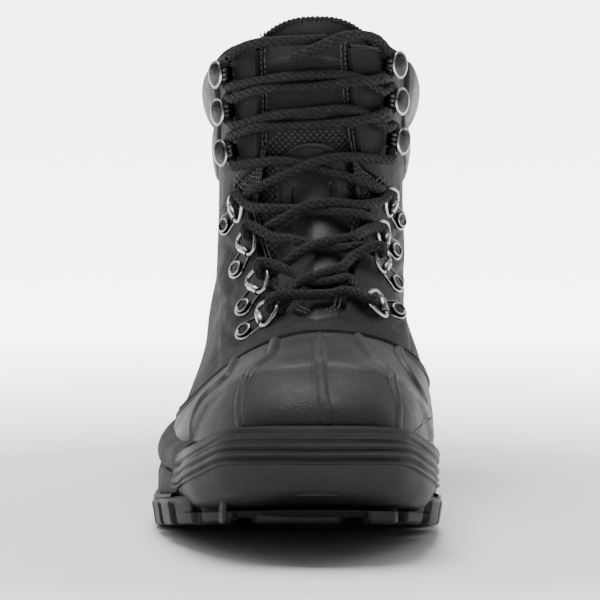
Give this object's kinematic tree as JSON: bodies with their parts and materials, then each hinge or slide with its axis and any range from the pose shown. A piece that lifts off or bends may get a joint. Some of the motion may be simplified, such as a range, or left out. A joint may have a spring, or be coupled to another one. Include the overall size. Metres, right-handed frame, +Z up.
{
  "type": "winter boot",
  "caption": "Laced winter boot for the right foot with a ribbed rubber foot shell, leather shaft, padded collar, metal rings and hooks, and a lugged sole.",
  "frame": {"origin": "middle of the bounding box on the floor", "axes": "+Y toward the heel and -Y toward the toe, +X toward the inner side of the right foot, +Z up"},
  "size_m": [0.1195, 0.3097, 0.2099],
  "materials": {
    "sole_rubber": "moulded rubber, satin",
    "shell_rubber": "moulded rubber, satin",
    "sidewall_rubber": "foamed rubber, dull",
    "upper_leather": "waxed nubuck leather",
    "tongue_leather": "soft leather over padding",
    "collar_padding": "smooth padded leather",
    "insole_felt": "grey felt",
    "flex_cloth": "ribbed cloth",
    "lace_cord": "round braided polyester",
    "gunmetal": "dark nickel plate, polished edges"
  },
  "bodies": {
    "root": {"outsole": "sole_rubber", "midsole": "sidewall_rubber", "insole": "insole_felt", "shell": "shell_rubber", "upper": "upper_leather", "tongue": "tongue_leather", "collar_pad": "collar_padding", "flex_insert_outer": "flex_cloth", "flex_insert_inner": "flex_cloth", "ring_plate_outer_1": "gunmetal", "ring_outer_1": "gunmetal", "ring_plate_outer_2": "gunmetal", "ring_outer_2": "gunmetal", "ring_plate_outer_3": "gunmetal", "ring_outer_3": "gunmetal", "ring_plate_outer_4": "gunmetal", "ring_outer_4": "gunmetal", "ring_plate_inner_1": "gunmetal", "ring_inner_1": "gunmetal", "ring_plate_inner_2": "gunmetal", "ring_inner_2": "gunmetal", "ring_plate_inner_3": "gunmetal", "ring_inner_3": "gunmetal", "ring_plate_inner_4": "gunmetal", "ring_inner_4": "gunmetal", "hook_outer_1": "gunmetal", "hook_outer_2": "gunmetal", "hook_outer_3": "gunmetal", "hook_inner_1": "gunmetal", "hook_inner_2": "gunmetal", "hook_inner_3": "gunmetal", "lace_bar": "lace_cord", "lace_crossing_1": "lace_cord", "lace_crossing_2": "lace_cord", "lace_crossing_3": "lace_cord", "lace_crossing_4": "lace_cord", "lace_crossing_5": "lace_cord", "lace_crossing_6": "lace_cord", "lace_end_outer": "lace_cord", "lace_end_inner": "lace_cord"}
  },
  "joints": []
}
